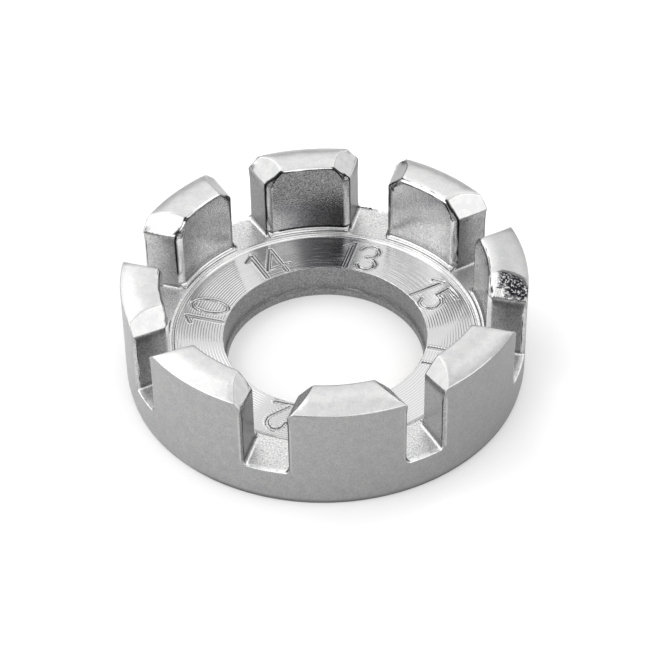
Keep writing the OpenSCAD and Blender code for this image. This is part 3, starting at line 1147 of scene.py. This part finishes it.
def plated_tone(place, grain, cloud, cells, grainy, pit):
    """Clouded plating, mixed in turn with dull casting and painted shade, grain, specks, edges painted
    bright as rubbed wear and highlight, the pit, and dark lines with painted shade at a block's foot.
    """
    specks = noise(place, SPECKS).between(0.6, 0.66) * grainy
    tone = cloud.between(0.35, 0.65).mix(PLATING_LOW, PLATING_HIGH)
    # Darkened by the share of dull casting and painted shade
    tone = share_of(place, "dull").mix(tone, DULL_CASTING_AND_SHADE)
    tone = tone.scaled(1 + grainy * (0.5 - grain.between(0.3, 0.7)))
    tone = (0.5 * specks).mix(tone, SPECK)
    # Edges painted bright: partly rubbed wear, partly painted highlight
    tone = share_of(place, "bright").mix(tone, RUBBED_AND_HIGHLIT)
    tone = (pit * (1 - 0.8 * cells.between(0.53, 0.58))).mix(tone, PIT_FLOOR)
    # Dark lines along the bevels and the high burr, with painted shade at a block's foot
    return share_of(place, "soot").between(0.3, 0.8).mix(tone, DARK_LINE_GREY)


def plated_skin():
    """Metal, matt where it was cast, with upright streaks where it was ground, and grainy where rough."""
    material, shader, place = new_finish("plated_skin")
    matt, grainy, pit = share_of(place, "matt"), share_of(place, "grain"), share_of(place, "pit")
    grain, cloud, cells = noise(place, GRAIN), noise(place, CLOUDS), noise(place, CELLS, 2.0)
    streaks = noise(place.node("ShaderNodeMapping", Vector=place, Scale=STREAK_HEIGHT), STREAKS)
    wavy = bump(streaks * (1 - matt), STREAK_BUMP)
    connect(shader, Base_Color=plated_tone(place, grain, cloud, cells, grainy, pit), Metallic=1.0,
            Roughness=0.1 + 0.38 * matt + 0.08 * cloud,
            Normal=bump(grain * (0.03 + 0.12 * grainy) + 1.5 * cells * pit, GRAIN_BUMP, wavy))
    return material


skin.data.materials.append(plated_skin())
print("nodes in the plating:", len(skin.data.materials[0].node_tree.nodes))

# %% [markdown]
# ## The turned face
# A lathe tool leaves a fine spiral of cusps, which from above are rings. They are far too fine for the
# mesh, so they are a bump: the absolute value of a sine of the radius. Towards the slot marked 13 the
# tool had worn, and only streaks are left; near it a dark smudge is painted on, a painted reflection of
# the dark inner face of the block beside it. The edges of the stamped strokes are painted darker.

# %% Turned face
CUSP_PITCH = 0.37
# Where the worn tool left the face smoothest, and where its painted reflection is darkest; then the face's
# grey, the painted reflection's grey and the grey of the strokes' edges
SMOOTH_AZIMUTH, DARK_REFLECTION_AZIMUTH = radians(92), radians(105)
TURNED, PAINTED_REFLECTION_GREY, STROKE_EDGE_GREY = grey(0.5), grey(0.25, 0.01), grey(0.06)


def plan_of(place):
    """The x and y of a place, as two wires."""
    x = place.node("ShaderNodeSeparateXYZ", Vector=place)
    return x, Wire(x.tree, x.socket.node.outputs[1])


def towards(x, y, radius, azimuth):
    """The cosine of the angle between a place and an azimuth: 1 straight at it, -1 behind."""
    return (x * cos(azimuth) + y * sin(azimuth)) / radius


def turned_face():
    """Cusps where the tool was sharp, and where it was worn a noise that changes with the radius alone.

    The cusps are the absolute value of the sine of pi times the radius over their pitch."""
    material, shader, place = new_finish("turned_face")
    x, y = plan_of(place)
    radius = (x * x + y * y) ** 0.5
    cusps = radius.math("ABSOLUTE", radius.math("SINE", radius * (pi / CUSP_PITCH)))
    smooth = towards(x, y, radius, SMOOTH_AZIMUTH).between(0.4, 0.72)
    streaks = place.node("ShaderNodeTexNoise", settings={"noise_dimensions": "2D"}, Scale=1.0, Detail=2.0,
                         Vector=place.node("ShaderNodeCombineXYZ", X=radius * 5, Y=x * 0.25))
    pressed = share_of(place, "pressed")
    height = (cusps * (1 - 0.9 * smooth) + 1.7 * streaks * smooth) * (1 - pressed.between(0.1, 0.6))
    # The edges of the stamped strokes are painted darker
    stroke_edges = pressed.between(0.05, 0.35) * (1 - pressed.between(0.6, 0.95))
    # A dark smudge, painted as a reflection of the dark block beside the face
    painted_reflection = towards(x, y, radius, DARK_REFLECTION_AZIMUTH).between(0.95, 0.99)
    tone = (painted_reflection * (0.5 + streaks)).mix(TURNED, PAINTED_REFLECTION_GREY)
    connect(shader, Base_Color=(0.45 * stroke_edges).mix(tone, STROKE_EDGE_GREY), Metallic=1.0,
            Roughness=0.07 + 0.07 * noise(place, 2.0) + 0.06 * smooth, Normal=bump(height, CUSP_BUMP))
    return material


skin.data.materials.append(turned_face())
print("rings on the turned face:", round((FACE_R - HOLE_R) / CUSP_PITCH))

# %% [markdown]
# ## The hole wall
# The wall of the hole was neither turned nor ground. It is bare, dark casting with a trace of rust in
# front of the slot marked 11, so a coarser bump and two greys are enough.

# %% Hole wall
CASTING_PALE, CASTING_DARK, RUST = grey(0.36), grey(0.22), (0.36, 0.26, 0.16, 1)


def hole_wall():
    """Bare casting, mixed with rust where x is near the hole's radius and y is small."""
    material, shader, place = new_finish("hole_wall")
    grain = noise(place, 1.25 * GRAIN, 4.0)
    x, y = plan_of(place)
    rust = (x / HOLE_R).between(0.9, 1.0) * (1 - (y / HOLE_R).between(0.1, 0.4))
    tone = (0.5 * rust).mix(grain.between(0.35, 0.65).mix(CASTING_PALE, CASTING_DARK), RUST)
    connect(shader, Base_Color=tone, Metallic=1.0, Roughness=0.4, Normal=bump(grain, HOLE_BUMP))
    return material


skin.data.materials.append(hole_wall())
print("finishes:", [finish.name for finish in skin.data.materials])

# %% [markdown]
# ## The floor
# The wrench stands on white paper that runs out of the picture. One large square is enough for that. It
# is dull all over, so that it shows the wrench's soft shadow and nothing else.

# %% Floor
FLOOR_SIZE, FLOOR_DROP = 6.0, 0.01 * MM
PAPER = grey(0.88)


def add_floor():
    """A square floor of paper, a hundredth of a millimetre below the wrench."""
    half = FLOOR_SIZE / 2
    corners = [(side * half, end * half, -FLOOR_DROP) for side, end in ((-1, -1), (1, -1), (1, 1), (-1, 1))]
    mesh = bpy.data.meshes.new("floor")
    mesh.from_pydata(corners, [], [(0, 1, 2, 3)])
    material, shader, _ = new_finish("floor_paper")
    connect(shader, Base_Color=PAPER, Roughness=1.0, Specular_IOR_Level=0.0)
    mesh.materials.append(material)
    return add_object("floor", mesh)


floor = add_floor()
print(floor.name, "is", FLOOR_SIZE, "m square")

# %% [markdown]
# ## The lamps
# Bare metal has hardly a colour of its own: it looks like what it mirrors. So the soft boxes are placed
# by what each surface of the photograph shows. The crowns and the turned face mirror what stands behind
# the wrench, 43 degrees up, and the end slopes mirror the room to the left and right of the camera. The
# outer wall mirrors the floor in front. A lamp's power is set by the brightness that a mirror turned to
# it would show, which keeps all of them near the brightness of white paper.

# %% Lamps
LAMP_DISTANCE = 2.5
ROOM_LEVEL = 0.25
# For each soft box: degrees right of the camera, degrees up, its width and height in degrees, its level
SOFT_BOXES = {
    "back_box": (180, 42, 70, 54, 1.15),
    "back_left_box": (-118, 36, 52, 60, 1.25),
    "back_right_box": (118, 46, 52, 40, 0.5),
    "low_right_box": (118, 14, 52, 22, 0.95),
    "left_box": (-65, 39, 46, 56, 1.75),
    "right_box": (49, 38, 78, 54, 1.45),
    "top_box": (0, 86, 44, 44, 1.05),
}


def add_softbox(name, around, elevation, wide, high, level):
    """A soft box that faces the wrench. Its power is pi times its area times its level."""
    way = direction(VIEW_AZIMUTH + radians(around), radians(elevation))
    data = bpy.data.lights.new(name, "AREA")
    data.shape = "RECTANGLE"
    data.size = 2 * LAMP_DISTANCE * tan(radians(wide / 2))
    data.size_y = 2 * LAMP_DISTANCE * tan(radians(high / 2))
    data.energy = pi * data.size * data.size_y * level
    turn = way.to_track_quat("Z", "Y").to_matrix().to_4x4()
    lamp = add_object(name, data)
    lamp.matrix_world = Matrix.Translation(LAMP_DISTANCE * way) @ turn


def add_room_light():
    """The room's own even, white light."""
    world = bpy.data.worlds.new("room")
    bpy.context.scene.world = world
    world.use_nodes = True
    connect(world.node_tree.nodes["Background"], Color=grey(1.0), Strength=ROOM_LEVEL)


add_room_light()
for name, sizes in SOFT_BOXES.items():
    add_softbox(name, *sizes)
bpy.context.scene.view_settings.view_transform = "Standard"

# %% [markdown]
